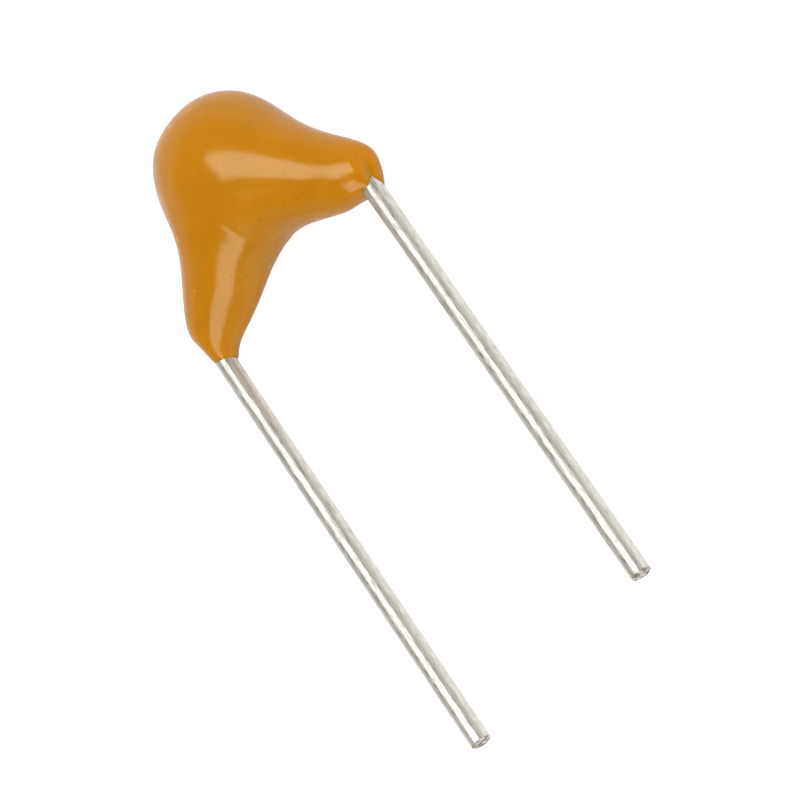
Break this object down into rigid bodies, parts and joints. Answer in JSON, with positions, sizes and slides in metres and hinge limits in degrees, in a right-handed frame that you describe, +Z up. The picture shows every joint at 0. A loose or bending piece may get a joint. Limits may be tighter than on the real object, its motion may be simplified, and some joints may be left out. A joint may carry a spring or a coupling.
{
  "type": "multilayer ceramic capacitor",
  "caption": "Dipped radial capacitor: a drop-shaped glossy epoxy body on spread legs, holding a layered ceramic chip, with straight tinned wire leads.",
  "frame": {"origin": "on the surface the part lies on, below the middle of its overall length and width", "axes": "+Y from the tips of the leads towards the crown of the coating, +X across the leads, +Z up from the surface"},
  "size_m": [0.006, 0.0142, 0.0025],
  "materials": {
    "epoxy": "glossy mustard-orange dipped epoxy",
    "ceramic": "matt fired dielectric ceramic",
    "electrode_metal": "dull fired nickel",
    "cap_metal": "fired metal with a tin plating",
    "solder": "satin solder",
    "tinned_wire": "bright tinned wire with drawn streaks"
  },
  "bodies": {
    "root": {"coating": "epoxy", "ceramic_block": "ceramic", "left_electrodes": "electrode_metal", "right_electrodes": "electrode_metal", "left_cap": "cap_metal", "right_cap": "cap_metal", "left_solder": "solder", "right_solder": "solder", "left_lead": "tinned_wire", "right_lead": "tinned_wire"}
  },
  "joints": []
}
